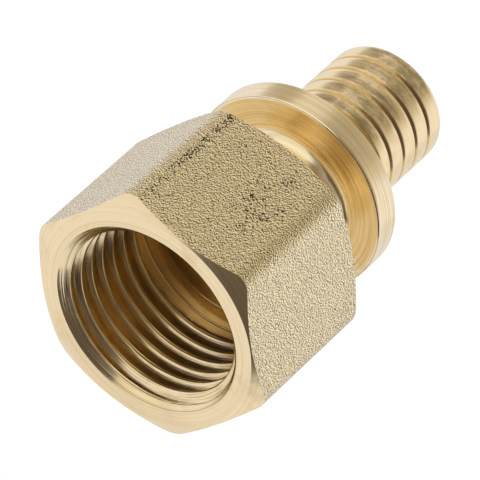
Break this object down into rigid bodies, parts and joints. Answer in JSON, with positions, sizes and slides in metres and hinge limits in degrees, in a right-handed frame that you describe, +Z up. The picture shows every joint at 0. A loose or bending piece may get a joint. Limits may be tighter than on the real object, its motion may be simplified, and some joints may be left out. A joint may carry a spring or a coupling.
{
  "type": "pex female adapter",
  "caption": "Brass pipe adapter: a hexagon with a female pipe thread, then a neck, a collar and a grooved stub that plastic pipe is pushed over.",
  "frame": {"origin": "on the surface the adapter lies on, below the middle of its length and its axis", "axes": "+X along the pipe axis, from the threaded mouth to the stub's tip; +Z up, with the hexagon lying on a flat"},
  "size_m": [0.0428, 0.0282, 0.025],
  "materials": {
    "brass": "blasted forging on the hexagon's flats, turned bright everywhere else"
  },
  "bodies": {
    "root": {"adapter": "brass"}
  },
  "joints": []
}
